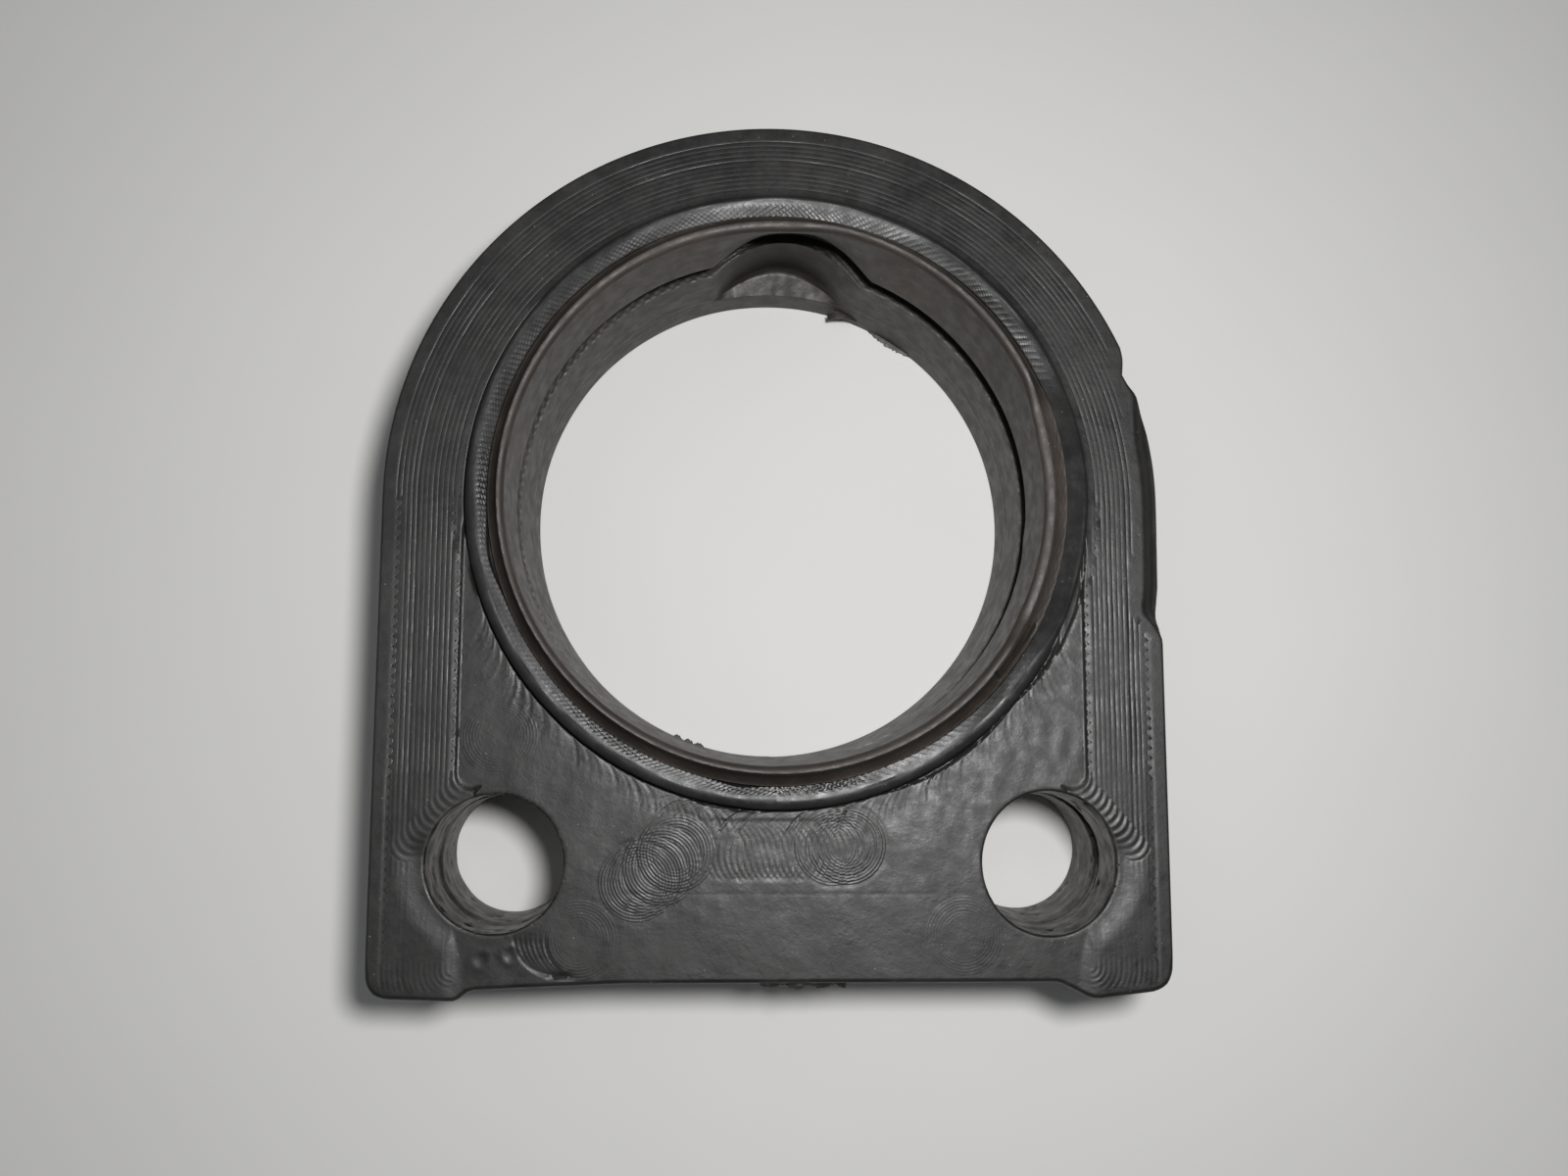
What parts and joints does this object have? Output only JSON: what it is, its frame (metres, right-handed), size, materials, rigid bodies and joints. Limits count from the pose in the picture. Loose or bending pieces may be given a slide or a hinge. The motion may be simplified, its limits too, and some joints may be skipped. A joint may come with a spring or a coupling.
{
  "type": "arched rubber eye mounting block",
  "caption": "Arched black rubber mounting block with a large lined eye, a raised collar round it, a keyway notch, corner bolt holes and a footed base.",
  "frame": {"origin": "on the back face, under the middle of the bounding box; the block lies on its back", "axes": "+Z along the eye's axis, out of the front face; +Y from the feet to the crown of the arch; +X to the right seen from the front"},
  "size_m": [0.08, 0.0902, 0.0215],
  "materials": {
    "back_rubber": "matt, dusty, moulded with fine air pits",
    "front_rubber": "semi-matt, with fine contour-parallel grooves and swirl marks",
    "collar_rubber": "satin, cross-hatched land",
    "liner_rubber": "satin, smooth, brownish"
  },
  "bodies": {
    "root": {"back_half": "back_rubber", "front_half": "front_rubber", "eye_collar": "collar_rubber", "eye_liner": "liner_rubber"}
  },
  "joints": []
}
